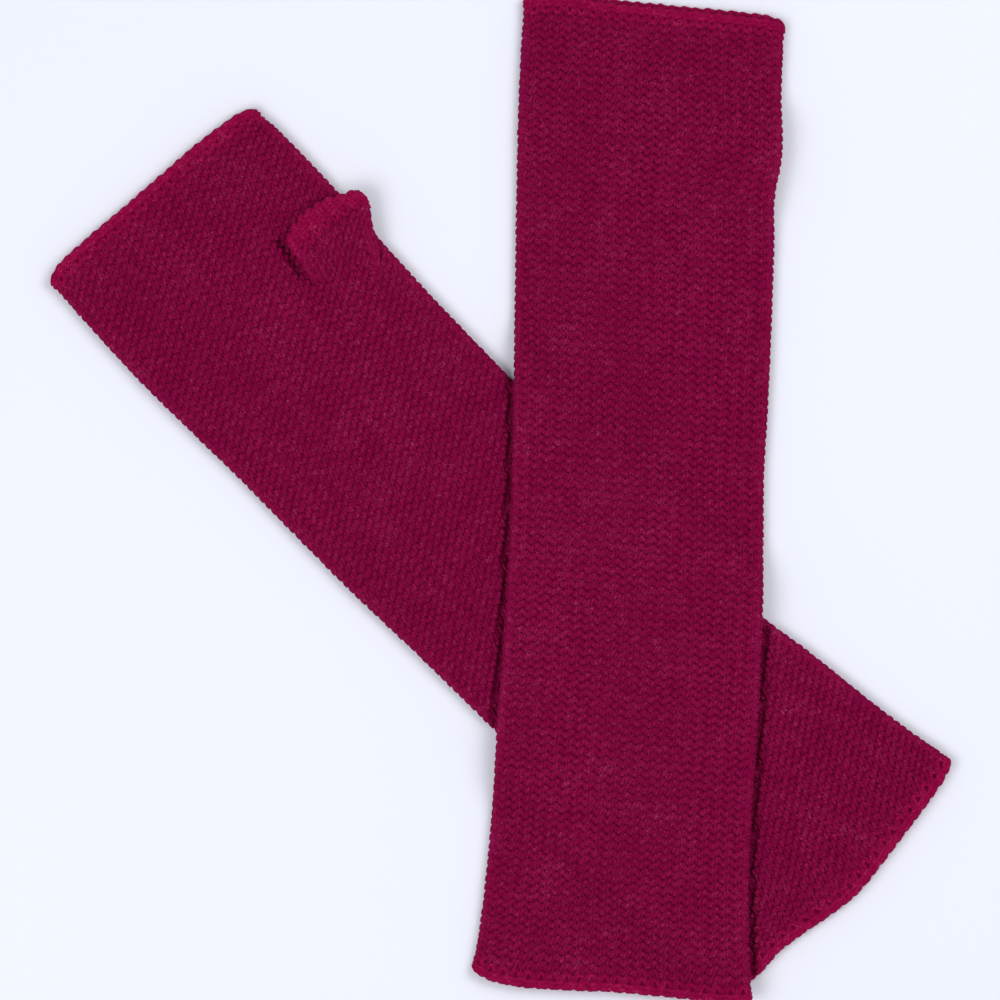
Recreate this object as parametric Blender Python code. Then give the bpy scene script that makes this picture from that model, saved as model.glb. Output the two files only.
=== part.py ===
"""Pair of knitted wool arm warmers laid flat on a table, the left one across the right one.

Each warmer is a long tube knitted in the round, open at the hand edge and the arm edge, with a
short thumb over a slit in its palm. It lies flat, so its two layers touch but for a narrow hollow.
The right warmer shows its palm and its thumb. The left one shows the back of its hand, its thumb
is under it, and where it crosses the right one it rises over it and falls to the table again.

Metres, +Z up, the table at z = 0, the middle of the pair at the origin. The table of sizes below
is in millimetres. Along is the distance from a warmer's hand edge, across is the distance from
its centre line, and both lie in the table.
"""

from collections import namedtuple
from math import cos, hypot, pi, radians, sin

import bmesh
import bpy
from mathutils import Vector

MM = 0.001

# Driving sizes, in millimetres
WALL = 2.2  # one layer of the knitting
HOLLOW = 0.6  # between the two layers of a tube
SEAM = 0.3  # between pieces that meet
EDGE_BAND = 4.0  # cast-on or bound-off edge of a warmer, along the tube
EDGE_REACH = 22.0  # how far the bends of an edge carry on into the rows next to it
DRAPE_SHELF = 1.5  # the upper warmer stays level this far past what it lies on
DRAPE_RUN = 20.0  # and falls to the table over this much
THUMB_WALL = 1.9
THUMB_BAND = 2.6  # bound-off edge of a thumb, along it
THUMB_BORE_END = 65.0  # along the warmer: the thumb's hollow stops at the palm here
SLIT_ALONG = (60.0, 64.0)  # slit in the palm that the thumb is knitted from
SLIT_ACROSS = (27.0, 47.0)

THICKNESS = 2 * WALL + HOLLOW

# Outline of each warmer: a row for each section, from the hand edge to the arm edge
Section = namedtuple("Section", "along left right")
LEFT_SECTIONS = (
    Section(along=0, left=-46.6, right=47.6),
    Section(along=28, left=-46.8, right=47.4),
    Section(along=50, left=-46.2, right=48.9),
    Section(along=66, left=-45.9, right=47.3),
    Section(along=120, left=-44.4, right=47.4),
    Section(along=180, left=-44.2, right=47.6),
    Section(along=232, left=-44.4, right=49.6),
    Section(along=292, left=-44.9, right=49.7),
    Section(along=322, left=-46.4, right=50.1),
    Section(along=345, left=-48.9, right=51.3),
    Section(along=356, left=-50.4, right=52.3),
)
RIGHT_SECTIONS = (
    Section(along=0, left=-46.2, right=50.6),
    Section(along=14, left=-47.1, right=51.2),
    Section(along=45, left=-48.2, right=50.2),
    Section(along=76, left=-48.6, right=48.3),
    Section(along=100, left=-47.6, right=47.5),
    Section(along=150, left=-47.8, right=47.1),
    Section(along=210, left=-47.2, right=47.6),
    Section(along=262, left=-47.2, right=49.4),
    Section(along=290, left=-47.2, right=53.0),
    Section(along=325, left=-47.4, right=57.2),
    Section(along=348, left=-48.0, right=61.3),
    Section(along=356, left=-48.2, right=62.4),
)

# Run of each end: how far the edge lies past its straight line. Side is -1 at the left fold and
# 1 at the right one, and the corners are drawn back.
EdgePoint = namedtuple("EdgePoint", "side past")
LEFT_HAND_EDGE = (
    EdgePoint(side=-1.00, past=-5.0),
    EdgePoint(side=-0.94, past=-2.2),
    EdgePoint(side=-0.70, past=-0.6),
    EdgePoint(side=-0.40, past=-1.0),
    EdgePoint(side=0.42, past=-1.3),
    EdgePoint(side=0.80, past=-1.5),
    EdgePoint(side=0.93, past=-2.6),
    EdgePoint(side=1.00, past=-5.2),
)
LEFT_ARM_EDGE = (
    EdgePoint(side=-1.00, past=-6.2),
    EdgePoint(side=-0.94, past=-2.9),
    EdgePoint(side=-0.84, past=-0.8),
    EdgePoint(side=-0.66, past=0.6),
    EdgePoint(side=-0.40, past=0.7),
    EdgePoint(side=0.00, past=0.0),
    EdgePoint(side=0.50, past=0.6),
    EdgePoint(side=0.85, past=0.8),
    EdgePoint(side=0.96, past=-0.1),
    EdgePoint(side=1.00, past=-2.6),
)
RIGHT_HAND_EDGE = (
    EdgePoint(side=-1.00, past=-3.6),
    EdgePoint(side=-0.93, past=-1.2),
    EdgePoint(side=-0.80, past=0.1),
    EdgePoint(side=-0.50, past=0.2),
    EdgePoint(side=0.00, past=0.0),
    EdgePoint(side=0.50, past=-0.1),
    EdgePoint(side=0.80, past=-1.1),
    EdgePoint(side=0.93, past=-2.4),
    EdgePoint(side=1.00, past=-5.0),
)
RIGHT_ARM_EDGE = (
    EdgePoint(side=-1.00, past=-6.6),
    EdgePoint(side=-0.92, past=-4.3),
    EdgePoint(side=-0.65, past=-3.9),
    EdgePoint(side=-0.30, past=0.3),
    EdgePoint(side=-0.05, past=2.6),
    EdgePoint(side=0.20, past=1.9),
    EdgePoint(side=0.50, past=0.5),
    EdgePoint(side=0.85, past=-1.8),
    EdgePoint(side=0.96, past=-3.7),
    EdgePoint(side=1.00, past=-6.1),
)

# A thumb, flattened towards the hand edge: its mouth is the first row. Its layers come together
# where it grows out of the palm.
ThumbSection = namedtuple("ThumbSection", "along left right thick")
THUMB_SECTIONS = (
    ThumbSection(along=49.4, left=24.4, right=52.0, thick=4.4),
    ThumbSection(along=53.5, left=23.2, right=55.2, thick=4.4),
    ThumbSection(along=58.0, left=21.9, right=56.0, thick=4.4),
    ThumbSection(along=62.0, left=20.8, right=54.4, thick=4.3),
    ThumbSection(along=66.0, left=20.6, right=51.6, thick=3.8),
    ThumbSection(along=72.0, left=21.6, right=49.2, thick=2.4),
    ThumbSection(along=78.0, left=23.6, right=47.6, thick=1.0),
)

Warmer = namedtuple(
    "Warmer",
    "side hand_middle heading length sections hand_edge arm_edge hand_lean arm_lean "
    "under_layer_past thumb_across",
)
# The lean is how far an edge's right end lies behind its middle. The left warmer's under layer
# reaches past its upper one at the hand edge, and its thumb is tucked in under the palm.
LEFT = Warmer(
    side="left",
    hand_middle=(54.6, 177.5),
    heading=-92.5,
    length=355.4,
    sections=LEFT_SECTIONS,
    hand_edge=LEFT_HAND_EDGE,
    arm_edge=LEFT_ARM_EDGE,
    hand_lean=2.3,
    arm_lean=1.5,
    under_layer_past=1.5,
    thumb_across=-8.0,
)
RIGHT = Warmer(
    side="right",
    hand_middle=(-129.3, 109.6),
    heading=-45.0,
    length=357.6,
    sections=RIGHT_SECTIONS,
    hand_edge=RIGHT_HAND_EDGE,
    arm_edge=RIGHT_ARM_EDGE,
    hand_lean=3.4,
    arm_lean=-2.6,
    under_layer_past=0.0,
    thumb_across=0.0,
)

# How finely a tube is divided: steps across one layer and round one fold
TUBE_STEPS = (15, 4)
THUMB_STEPS = (8, 3)
LEFT_STATIONS = 50  # the draped warmer needs more rings than the one that lies level
RIGHT_STATIONS = 18
BAND_STATIONS = 2

WOOL_COLOUR = (0.178, 0.004, 0.040, 1.0)
EDGE_COLOUR = (0.224, 0.005, 0.046, 1.0)
WOOL_ROUGHNESS = 0.92


def smooth_value(rows, column, key, at):
    """Height at a place of a smooth curve through the rows of a table."""
    keys = [getattr(row, key) for row in rows]
    values = [getattr(row, column) for row in rows]
    last = len(rows) - 1
    at = min(max(at, keys[0]), keys[last])
    high = next(i for i in range(1, last + 1) if at <= keys[i])
    low = high - 1

    def slope(i):
        before, after = max(i - 1, 0), min(i + 1, last)
        return (values[after] - values[before]) / (keys[after] - keys[before])

    span = keys[high] - keys[low]
    t = (at - keys[low]) / span
    rise = values[high] - values[low]
    start, end = slope(low) * span, slope(high) * span
    return values[low] + start * t + (3 * rise - 2 * start - end) * t**2 + (start + end - 2 * rise) * t**3


def soft_step(t):
    """0 at 0 and below, 1 at 1 and above, level at both ends."""
    t = min(max(t, 0.0), 1.0)
    return t * t * t * (t * (6 * t - 15) + 10)


def tube_width(warmer, along):
    """Middle and half width of a warmer's outline."""
    left = smooth_value(warmer.sections, "left", "along", along)
    right = smooth_value(warmer.sections, "right", "along", along)
    return (left + right) / 2, (right - left) / 2


def axes(warmer):
    """Directions along and across a warmer in the table."""
    turn = radians(warmer.heading)
    return Vector((cos(turn), sin(turn))), Vector((-sin(turn), cos(turn)))


def row_shift(warmer, row, side, level):
    """How far a place in a row lies past that row's middle, near the ends and between them."""
    near_hand = 1 - soft_step(row / EDGE_REACH)
    near_arm = 1 - soft_step((warmer.length - row) / EDGE_REACH)
    lean = warmer.hand_lean + (warmer.arm_lean - warmer.hand_lean) * row / warmer.length
    shift = lean * side
    shift -= near_hand * smooth_value(warmer.hand_edge, "past", "side", side)
    shift += near_arm * smooth_value(warmer.arm_edge, "past", "side", side)
    return shift - near_hand * warmer.under_layer_past * (1 - level)


def on_table(warmer, along, across):
    along_way, across_way = axes(warmer)
    return Vector(warmer.hand_middle) + along * along_way + across * across_way


def in_warmer(warmer, place):
    """Along and across of a place in the table."""
    along_way, across_way = axes(warmer)
    offset = place - Vector(warmer.hand_middle)
    return offset.dot(along_way), offset.dot(across_way)


def outside(along, across, first, last, middle, half):
    """Distance of a place from a strip, 0 inside it."""
    beside = max(abs(across - middle) - half, 0.0)
    beyond = max(first - along, along - last, 0.0)
    return hypot(beside, beyond)


def drape(height, distance):
    """Height of cloth that lies on something and falls off its edge."""
    return height * (1 - soft_step((distance - DRAPE_SHELF) / DRAPE_RUN))


def thumb_width(warmer, along):
    """Middle, half width and thickness of a warmer's thumb."""
    left = smooth_value(THUMB_SECTIONS, "left", "along", along)
    right = smooth_value(THUMB_SECTIONS, "right", "along", along)
    thick = smooth_value(THUMB_SECTIONS, "thick", "along", along)
    return (left + right) / 2 + warmer.thumb_across, (right - left) / 2, thick


def table_level(place):
    return 0.0


def over_right_warmer(place):
    """Height of what the left warmer lies on: the right warmer, and its own thumb."""
    along, across = in_warmer(RIGHT, place)
    middle, half = tube_width(RIGHT, along)
    crossing = drape(THICKNESS + SEAM, outside(along, across, 0, RIGHT.length, middle, half))
    along, across = in_warmer(LEFT, place)
    first, last = THUMB_SECTIONS[0].along, THUMB_SECTIONS[-1].along
    middle, half, thick = thumb_width(LEFT, along)
    away = outside(along, across, first, last, middle, half)
    return max(crossing, drape(thick + SEAM, away))


def flat_ring(half, thick, wall, steps):
    """Outline of a flattened tube cut across: two level layers joined by two round folds.

    Gives pairs of distance from the centre line and height, round from the left end of the
    under layer. A wall above 0 gives the outline of the hollow inside it.
    """
    layer_steps, fold_steps = steps
    fold = thick / 2
    level = half - fold
    radius = fold - wall
    ring = []
    for i in range(layer_steps):
        ring.append((-level + 2 * level * i / layer_steps, fold - radius))
    for i in range(fold_steps):
        angle = -pi / 2 + pi * i / fold_steps
        ring.append((level + radius * cos(angle), fold + radius * sin(angle)))
    for i in range(layer_steps):
        ring.append((level - 2 * level * i / layer_steps, fold + radius))
    for i in range(fold_steps):
        angle = pi / 2 + pi * i / fold_steps
        ring.append((-level + radius * cos(angle), fold + radius * sin(angle)))
    return ring


def tube_ring(warmer, support, row, wall):
    """Ring of points of a warmer, one row of its knitting."""
    middle, half = tube_width(warmer, row)
    points = []
    for across, height in flat_ring(half, THICKNESS, wall, TUBE_STEPS):
        level = height / THICKNESS
        along = row + row_shift(warmer, row, across / half, level)
        place = on_table(warmer, along, middle + across)
        points.append(Vector((place.x, place.y, height + support(place))) * MM)
    return points


def thumb_ring(warmer, base, along, wall):
    """Ring of points of a flattened thumb whose under side is at the height base."""
    middle, half, thick = thumb_width(warmer, along)
    points = []
    for across, height in flat_ring(half, thick, wall, THUMB_STEPS):
        place = on_table(warmer, along, middle + across)
        points.append(Vector((place.x, place.y, height + base)) * MM)
    return points


def evenly(first, last, steps):
    return [first + (last - first) * i / steps for i in range(steps + 1)]


def wool(name, colour):
    material = bpy.data.materials.new(name)
    material.use_nodes = True
    shader = material.node_tree.nodes["Principled BSDF"]
    shader.inputs["Base Color"].default_value = colour
    shader.inputs["Roughness"].default_value = WOOL_ROUGHNESS
    shader.inputs["Metallic"].default_value = 0.0
    return material


def skin(mesh, rings):
    """Faces between rings, each of as many points as the next."""
    for ring, after in zip(rings, rings[1:]):
        for i in range(len(ring)):
            j = (i + 1) % len(ring)
            mesh.faces.new((ring[i], ring[j], after[j], after[i]))


def knitted_piece(collection, name, outer, inner, bore_is_through, material):
    """Solid between an outer skin and the hollow inside it, both lofted through their rings."""
    mesh = bmesh.new()
    outer_rings = [[mesh.verts.new(point) for point in ring] for ring in outer]
    inner_rings = [[mesh.verts.new(point) for point in ring] for ring in inner]
    skin(mesh, outer_rings)
    skin(mesh, inner_rings)
    skin(mesh, [outer_rings[0], inner_rings[0]])
    if bore_is_through:
        skin(mesh, [outer_rings[-1], inner_rings[-1]])
    else:
        mesh.faces.new(outer_rings[-1])
        mesh.faces.new(inner_rings[-1])
    bmesh.ops.recalc_face_normals(mesh, faces=mesh.faces)
    bmesh.ops.triangulate(mesh, faces=mesh.faces)
    data = bpy.data.meshes.new(name)
    mesh.to_mesh(data)
    mesh.free()
    data.shade_smooth()
    data.set_sharp_from_angle(angle=radians(50))
    data.materials.append(material)
    piece = bpy.data.objects.new(name, data)
    collection.objects.link(piece)
    return piece


def warmer_tube(collection, warmer, support, part, first, last, stations, material):
    """Stretch of a warmer's tube between two rows."""
    rows = evenly(first, last, stations)
    outer = [tube_ring(warmer, support, row, 0.0) for row in rows]
    inner = [tube_ring(warmer, support, row, WALL) for row in rows]
    return knitted_piece(collection, f"{warmer.side}_{part}", outer, inner, True, material)


def thumb_piece(collection, warmer, base, material):
    """Thumb behind its bound-off edge, down to where it grows out of the palm."""
    mouth = THUMB_SECTIONS[0].along + THUMB_BAND + SEAM
    rows = [mouth] + [row.along for row in THUMB_SECTIONS if row.along > mouth]
    bore = evenly(mouth, THUMB_BORE_END, 3)
    outer = [thumb_ring(warmer, base, along, 0.0) for along in rows]
    inner = [thumb_ring(warmer, base, along, thumb_wall(along)) for along in bore]
    return knitted_piece(collection, f"{warmer.side}_thumb", outer, inner, False, material)


def thumb_wall(along):
    """Wall of a thumb, which is pressed thinner where its layers come together."""
    thick = smooth_value(THUMB_SECTIONS, "thick", "along", along)
    return THUMB_WALL * thick / THUMB_SECTIONS[0].thick


def thumb_edge(collection, warmer, base, material):
    mouth = THUMB_SECTIONS[0].along
    rows = evenly(mouth, mouth + THUMB_BAND, BAND_STATIONS)
    outer = [thumb_ring(warmer, base, along, 0.0) for along in rows]
    inner = [thumb_ring(warmer, base, along, THUMB_WALL) for along in rows]
    return knitted_piece(collection, f"{warmer.side}_thumb_edge", outer, inner, True, material)


def slit_middle(warmer):
    return on_table(warmer, sum(SLIT_ALONG) / 2, sum(SLIT_ACROSS) / 2 + warmer.thumb_across)


def slit_cutter(collection, warmer, bottom, top):
    """Box that opens the palm and the thumb's under layer into each other."""
    along_way, across_way = axes(warmer)
    middle = slit_middle(warmer)
    bpy.ops.mesh.primitive_cube_add(size=1.0)
    cutter = bpy.context.object
    cutter.name = f"{warmer.side}_slit_cutter"
    size = (SLIT_ALONG[1] - SLIT_ALONG[0], SLIT_ACROSS[1] - SLIT_ACROSS[0], top - bottom)
    for corner in cutter.data.vertices:
        along, across, height = (corner.co[i] * size[i] for i in range(3))
        place = middle + along * along_way + across * across_way
        corner.co = Vector((place.x, place.y, (top + bottom) / 2 + height)) * MM
    for holder in list(cutter.users_collection):
        holder.objects.unlink(cutter)
    collection.objects.link(cutter)
    cutter.hide_render = True
    cutter.display_type = "WIRE"
    return cutter


def cut(piece, cutter):
    slit = piece.modifiers.new("thumb slit", "BOOLEAN")
    slit.operation = "DIFFERENCE"
    slit.object = cutter


def build_warmer(parts, cutters, warmer, support, thumb_base, stations):
    """One warmer: tube, its two edges, the thumb and its edge, and the slit between them."""
    body = wool(f"{warmer.side} knitted wool", WOOL_COLOUR)
    hand = wool(f"{warmer.side} bound off wool edge", EDGE_COLOUR)
    arm = wool(f"{warmer.side} cast on wool edge", EDGE_COLOUR)
    thumb_wool = wool(f"{warmer.side} thumb wool", WOOL_COLOUR)
    thumb_edge_wool = wool(f"{warmer.side} thumb edge wool", EDGE_COLOUR)
    first, last = EDGE_BAND + SEAM, warmer.length - EDGE_BAND - SEAM
    tube = warmer_tube(parts, warmer, support, "tube", first, last, stations, body)
    warmer_tube(parts, warmer, support, "hand_edge", 0, EDGE_BAND, BAND_STATIONS, hand)
    arm_edge_start = warmer.length - EDGE_BAND
    warmer_tube(parts, warmer, support, "arm_edge", arm_edge_start, warmer.length, BAND_STATIONS, arm)
    thumb = thumb_piece(parts, warmer, thumb_base, thumb_wool)
    thumb_edge(parts, warmer, thumb_base, thumb_edge_wool)
    thumb_middle = thumb_base + thumb_width(warmer, sum(SLIT_ALONG) / 2)[2] / 2
    tube_middle = support(slit_middle(warmer)) + THICKNESS / 2
    bottom, top = sorted((thumb_middle, tube_middle))
    cutter = slit_cutter(cutters, warmer, bottom, top)
    cut(tube, cutter)
    cut(thumb, cutter)


for leftover in list(bpy.data.objects):
    bpy.data.objects.remove(leftover)
pair = bpy.data.collections.new("pair of arm warmers")
slit_cutters = bpy.data.collections.new("cutters")
bpy.context.scene.collection.children.link(pair)
bpy.context.scene.collection.children.link(slit_cutters)

build_warmer(pair, slit_cutters, RIGHT, table_level, THICKNESS + SEAM, RIGHT_STATIONS)
build_warmer(pair, slit_cutters, LEFT, over_right_warmer, 0.0, LEFT_STATIONS)
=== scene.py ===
"""Pair of knitted wool arm warmers lying flat, the left one across the right one.

Sizes are in millimetres, and a point is turned into metres where its mesh is made. Row is the
distance along a warmer from its hand edge, across is the distance from its centre line, and both
lie in the table. Turn goes from 0 to 1 round a tube, from the middle of its under layer.
"""

from collections import namedtuple

import bmesh  # noqa: E402
import bpy  # noqa: E402
import numpy as np  # noqa: E402
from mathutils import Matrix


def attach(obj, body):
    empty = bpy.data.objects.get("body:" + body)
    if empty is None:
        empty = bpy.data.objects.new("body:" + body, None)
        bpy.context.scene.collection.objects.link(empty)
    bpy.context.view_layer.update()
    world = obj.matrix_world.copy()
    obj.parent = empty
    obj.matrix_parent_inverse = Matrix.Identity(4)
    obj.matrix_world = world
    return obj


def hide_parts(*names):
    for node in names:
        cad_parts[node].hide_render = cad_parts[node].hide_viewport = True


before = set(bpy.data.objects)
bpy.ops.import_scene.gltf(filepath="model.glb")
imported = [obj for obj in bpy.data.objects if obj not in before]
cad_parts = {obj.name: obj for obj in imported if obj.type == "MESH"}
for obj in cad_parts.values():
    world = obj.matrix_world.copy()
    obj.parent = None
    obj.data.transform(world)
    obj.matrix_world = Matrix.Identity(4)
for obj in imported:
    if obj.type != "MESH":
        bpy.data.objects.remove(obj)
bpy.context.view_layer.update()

# Wool. One crimson yarn of two plies, spun from dyed fleece. Its loose fibres leave it without
# shine, and a little paler where it is seen edge on. Strands at the edges lie smoother, and their
# colours are painted lighter, a painted highlight for the light on the raised edge bands. The thin
# cloth behind the strands is the same wool, with its loops as a relief.
MM = 0.001
YARN_COLOURS = ("#730035", "#83043e", "#920f48", "#a54c6d")  # deep, mean, bright and pale fibres
# Edge yarn: the yarn's four colours painted lighter, a painted highlight for the light on the
# raised edge bands
EDGE_COLOURS_PAINTED_LIGHTER = ("#7a0036", "#8d033f", "#9f0e48", "#ae4d6d")
SHADES = (0.30, 0.48, 0.64, 0.82)  # where each of the four lies in the noise
LOOSE_FIBRE_COLOUR = "#c03468"
FIBRE_SIZE = 0.45  # a real fibre is about 0.03 mm thick, and is drawn this coarse to show at all
LOCK_SIZE = 2.6  # locks of fleece that took the dye a little differently
LOCK_SHARE = 0.35
PATCH_SIZE = 18.18  # broad patches in which the whole yarn came out lighter or darker
PATCH_SHARE = 0.16
FIBRE_RELIEF = 0.5
PLY_PITCH = 5.0  # length of yarn in which a ply goes once round
# What gives the height of a relief: an attribute, the depth, and steps of a name, an operation and
# its values, which may be the names of earlier steps
PLIES = (
    "ply",
    0.12,
    (
        ("around", "ARCTAN2", "Y", "X"),
        ("twist", "MULTIPLY_ADD", "Z", 2 * np.pi / PLY_PITCH, "around"),
        ("both plies", "MULTIPLY", "twist", 2.0),
        ("height", "COSINE", "both plies"),
    ),
)
LOOPS = (
    "stitch",
    0.5,
    (
        ("wale", "MULTIPLY", "X", 2 * np.pi),
        ("wale", "COSINE", "wale"),
        ("course", "MULTIPLY", "Y", 2 * np.pi),
        ("course", "SINE", "course"),
        ("height", "MULTIPLY", "wale", "course"),
    ),
)


def linear(colour):
    """Linear colour of an sRGB hex one."""
    parts = [int(colour[i : i + 2], 16) / 255 for i in (1, 3, 5)]
    return [x / 12.92 if x <= 0.04045 else ((x + 0.055) / 1.055) ** 2.4 for x in parts] + [1.0]


def add(tree, kind, settings=None, inputs=None):
    """Node with its settings and inputs: a socket is linked, anything else is its value."""
    node = tree.nodes.new(kind)
    for name, value in (settings or {}).items():
        setattr(node, name, value)
    for key, value in (inputs or {}).items():
        socket = node.inputs[key] if isinstance(key, int) else next(
            s for s in node.inputs if s.enabled and key in (s.identifier, s.name)
        )
        if isinstance(value, bpy.types.NodeSocket):
            tree.links.new(value, socket)
        else:
            socket.default_value = value
    return node


def wool(name, colours, relief):
    """Wool with its fibres in four colours and its relief."""
    material = bpy.data.materials.new(name)
    material.use_nodes = True
    tree = material.node_tree
    shader = tree.nodes["Principled BSDF"]
    shader.inputs["Roughness"].default_value = 0.9
    shader.inputs["Specular IOR Level"].default_value = 0.06
    shader.inputs["Sheen Weight"].default_value = 0.12
    shader.inputs["Sheen Roughness"].default_value = 0.45
    shader.inputs["Sheen Tint"].default_value = linear(LOOSE_FIBRE_COLOUR)
    place = add(tree, "ShaderNodeTexCoord").outputs["Object"]
    patches, locks, fibres = (
        add(
            tree,
            "ShaderNodeTexNoise",
            None,
            {"Vector": place, "Scale": 1 / (size * MM), "Detail": detail},
        ).outputs["Fac"]
        for size, detail in ((PATCH_SIZE, 2.0), (LOCK_SIZE, 1.0), (FIBRE_SIZE, 3.0))
    )
    known = {"patches": patches, "locks": locks, "fibres": fibres}
    attribute, depth, steps = relief
    spot = add(tree, "ShaderNodeAttribute", {"attribute_name": attribute}).outputs["Vector"]
    parts = add(tree, "ShaderNodeSeparateXYZ", None, {"Vector": spot})
    known.update({part.name: part for part in parts.outputs})
    for step, operation, *values in (
        ("shade", "MULTIPLY_ADD", "patches", PATCH_SHARE, -PATCH_SHARE / 2),
        ("shade", "ADD", "shade", "fibres"),
        ("dye", "MULTIPLY_ADD", "locks", LOCK_SHARE, -LOCK_SHARE / 2),
        ("shade", "ADD", "dye", "shade"),
        *steps,
        ("height", "MULTIPLY_ADD", "fibres", FIBRE_RELIEF, "height"),
    ):
        inputs = {index: known.get(value, value) for index, value in enumerate(values)}
        node = add(tree, "ShaderNodeMath", {"operation": operation}, inputs)
        known[step] = node.outputs[0]
    ramp = add(tree, "ShaderNodeValToRGB", None, {"Fac": known["shade"]})
    stops = ramp.color_ramp.elements
    stops[0].position = SHADES[0]
    stops[1].position = SHADES[-1]
    for shade in SHADES[1:-1]:
        stops.new(shade)
    for stop, colour in zip(stops, colours):
        stop.color = linear(colour)
    tree.links.new(ramp.outputs["Color"], shader.inputs["Base Color"])
    bump = add(
        tree,
        "ShaderNodeBump",
        None,
        {"Strength": 0.8, "Distance": depth * MM, "Height": known["height"]},
    )
    tree.links.new(bump.outputs["Normal"], shader.inputs["Normal"])
    return material


yarn_wool = wool("crimson_wool_yarn", YARN_COLOURS, PLIES)
# Edge yarn in its painted-lighter colours, which stand in for the light on the raised edge bands
painted_light_edge_wool = wool("crimson_wool_edge_yarn_painted_lighter", EDGE_COLOURS_PAINTED_LIGHTER, PLIES)
cloth_wool = wool("crimson_wool_cloth", YARN_COLOURS, LOOPS)

# Right warmer. Stocking stitch of 44 stitches, knitted in the round from the forearm to the
# knuckles and worn purl side out, so each stitch shows two bumps. A chain of loops finishes each
# end, one cast on and one bound off. It lies flat, pressed down beside what lies across it.
THICKNESS = 5.0  # of the two layers, flat
STITCHES = 44  # round a tube
COURSES = 114  # between the edges of a tube
EDGE_REACH = 22.0  # how far the bends of an edge carry on into the rows next to it
MID_WALL = 1.5  # the middle of a strand's way in and out, below the outer side of the knitting
LEAST_FOLD = 0.15  # radius of the knitting's middle in the tightest fold

# Outline: along, left and right of the centre line
RIGHT_SECTIONS = np.array([
    (0, -46.6, 51.0), (14, -47.4, 51.8), (45, -48.9, 51.3), (76, -48.8, 49.6), (100, -48.4, 48.5),
    (150, -48.8, 47.8), (180, -48.1, 48.1), (210, -47.6, 48.4), (262, -47.6, 50.7),
    (290, -47.6, 54.4), (325, -47.8, 58.3), (348, -48.2, 61.6), (356, -48.2, 62.4),
])  # fmt: skip
LEFT_SECTIONS = np.array([
    (0, -46.8, 48.6), (28, -47.3, 48.6), (50, -47.1, 49.8), (66, -46.6, 47.8), (80, -46.3, 48.4),
    (120, -45.1, 48.8), (142, -44.5, 48.8), (165, -43.8, 48.4), (205, -43.6, 49.8),
    (238, -44.2, 50.0), (262, -45.2, 49.7), (292, -45.7, 49.0), (322, -47.1, 49.4),
    (345, -49.1, 51.0), (356, -50.4, 52.3),
])  # fmt: skip
# Run of an edge: side, from -1 at the left fold to 1 at the right one, and how far it lies past
# its straight line
RIGHT_HAND_EDGE = np.array([
    (-1.0, -6.2), (-0.97, -3.2), (-0.92, -1.2), (-0.8, 0.1), (-0.5, 0.2), (0.0, 0.0), (0.5, -0.1),
    (0.8, -1.1), (0.92, -2.4), (0.97, -4.2), (1.0, -7.0),
])  # fmt: skip
RIGHT_ARM_EDGE = np.array([
    (-1.0, -6.6), (-0.92, -4.3), (-0.65, -3.9), (-0.3, 0.3), (-0.05, 2.6), (0.2, 1.9), (0.5, 0.5),
    (0.85, -1.8), (0.96, -3.7), (1.0, -6.1),
])  # fmt: skip
LEFT_HAND_EDGE = np.array([
    (-1.0, -5.0), (-0.94, -2.2), (-0.7, -0.6), (-0.4, -1.0), (0.42, -1.3), (0.8, -1.5),
    (0.93, -2.6), (1.0, -5.2),
])  # fmt: skip
LEFT_ARM_EDGE = np.array([
    (-1.0, -6.2), (-0.94, -2.9), (-0.84, -0.8), (-0.66, 0.6), (-0.4, 0.7), (0.0, 0.0), (0.5, 0.6),
    (0.85, 0.8), (0.96, -0.1), (1.0, -2.6),
])  # fmt: skip
# Thumb: along, left, right and thickness, which goes on down into the palm at its root
THUMB_SECTIONS = np.array([
    (49.4, 24.4, 56.4, 4.4), (53.5, 23.0, 57.0, 4.4), (58.0, 22.0, 56.8, 4.4),
    (62.0, 20.9, 55.3, 4.3), (66.0, 20.6, 52.4, 3.8), (72.0, 21.6, 48.8, 2.5),
    (78.0, 23.6, 43.0, 0.6), (82.5, 24.9, 39.8, -1.9),
])  # fmt: skip

# How a warmer lies: the middle of its hand edge and its heading in degrees, how far each end leans
# along it, how far the under layer shows past the upper one at the hand, and how far across its
# thumb lies from the outline above
Warmer = namedtuple(
    "Warmer",
    "side hand_middle heading length sections hand_edge arm_edge hand_lean arm_lean "
    "under_layer_past thumb_across",
)
LEFT = Warmer(
    side="left",
    hand_middle=(54.6, 177.5),
    heading=-92.5,
    length=355.4,
    sections=LEFT_SECTIONS,
    hand_edge=LEFT_HAND_EDGE,
    arm_edge=LEFT_ARM_EDGE,
    hand_lean=2.3,
    arm_lean=1.5,
    under_layer_past=1.5,
    thumb_across=-8.0,
)
RIGHT = Warmer(
    side="right",
    hand_middle=(-129.3, 109.6),
    heading=-45.0,
    length=357.6,
    sections=RIGHT_SECTIONS,
    hand_edge=RIGHT_HAND_EDGE,
    arm_edge=RIGHT_ARM_EDGE,
    hand_lean=3.4,
    arm_lean=-2.6,
    under_layer_past=0.0,
    thumb_across=0.0,
)


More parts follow.
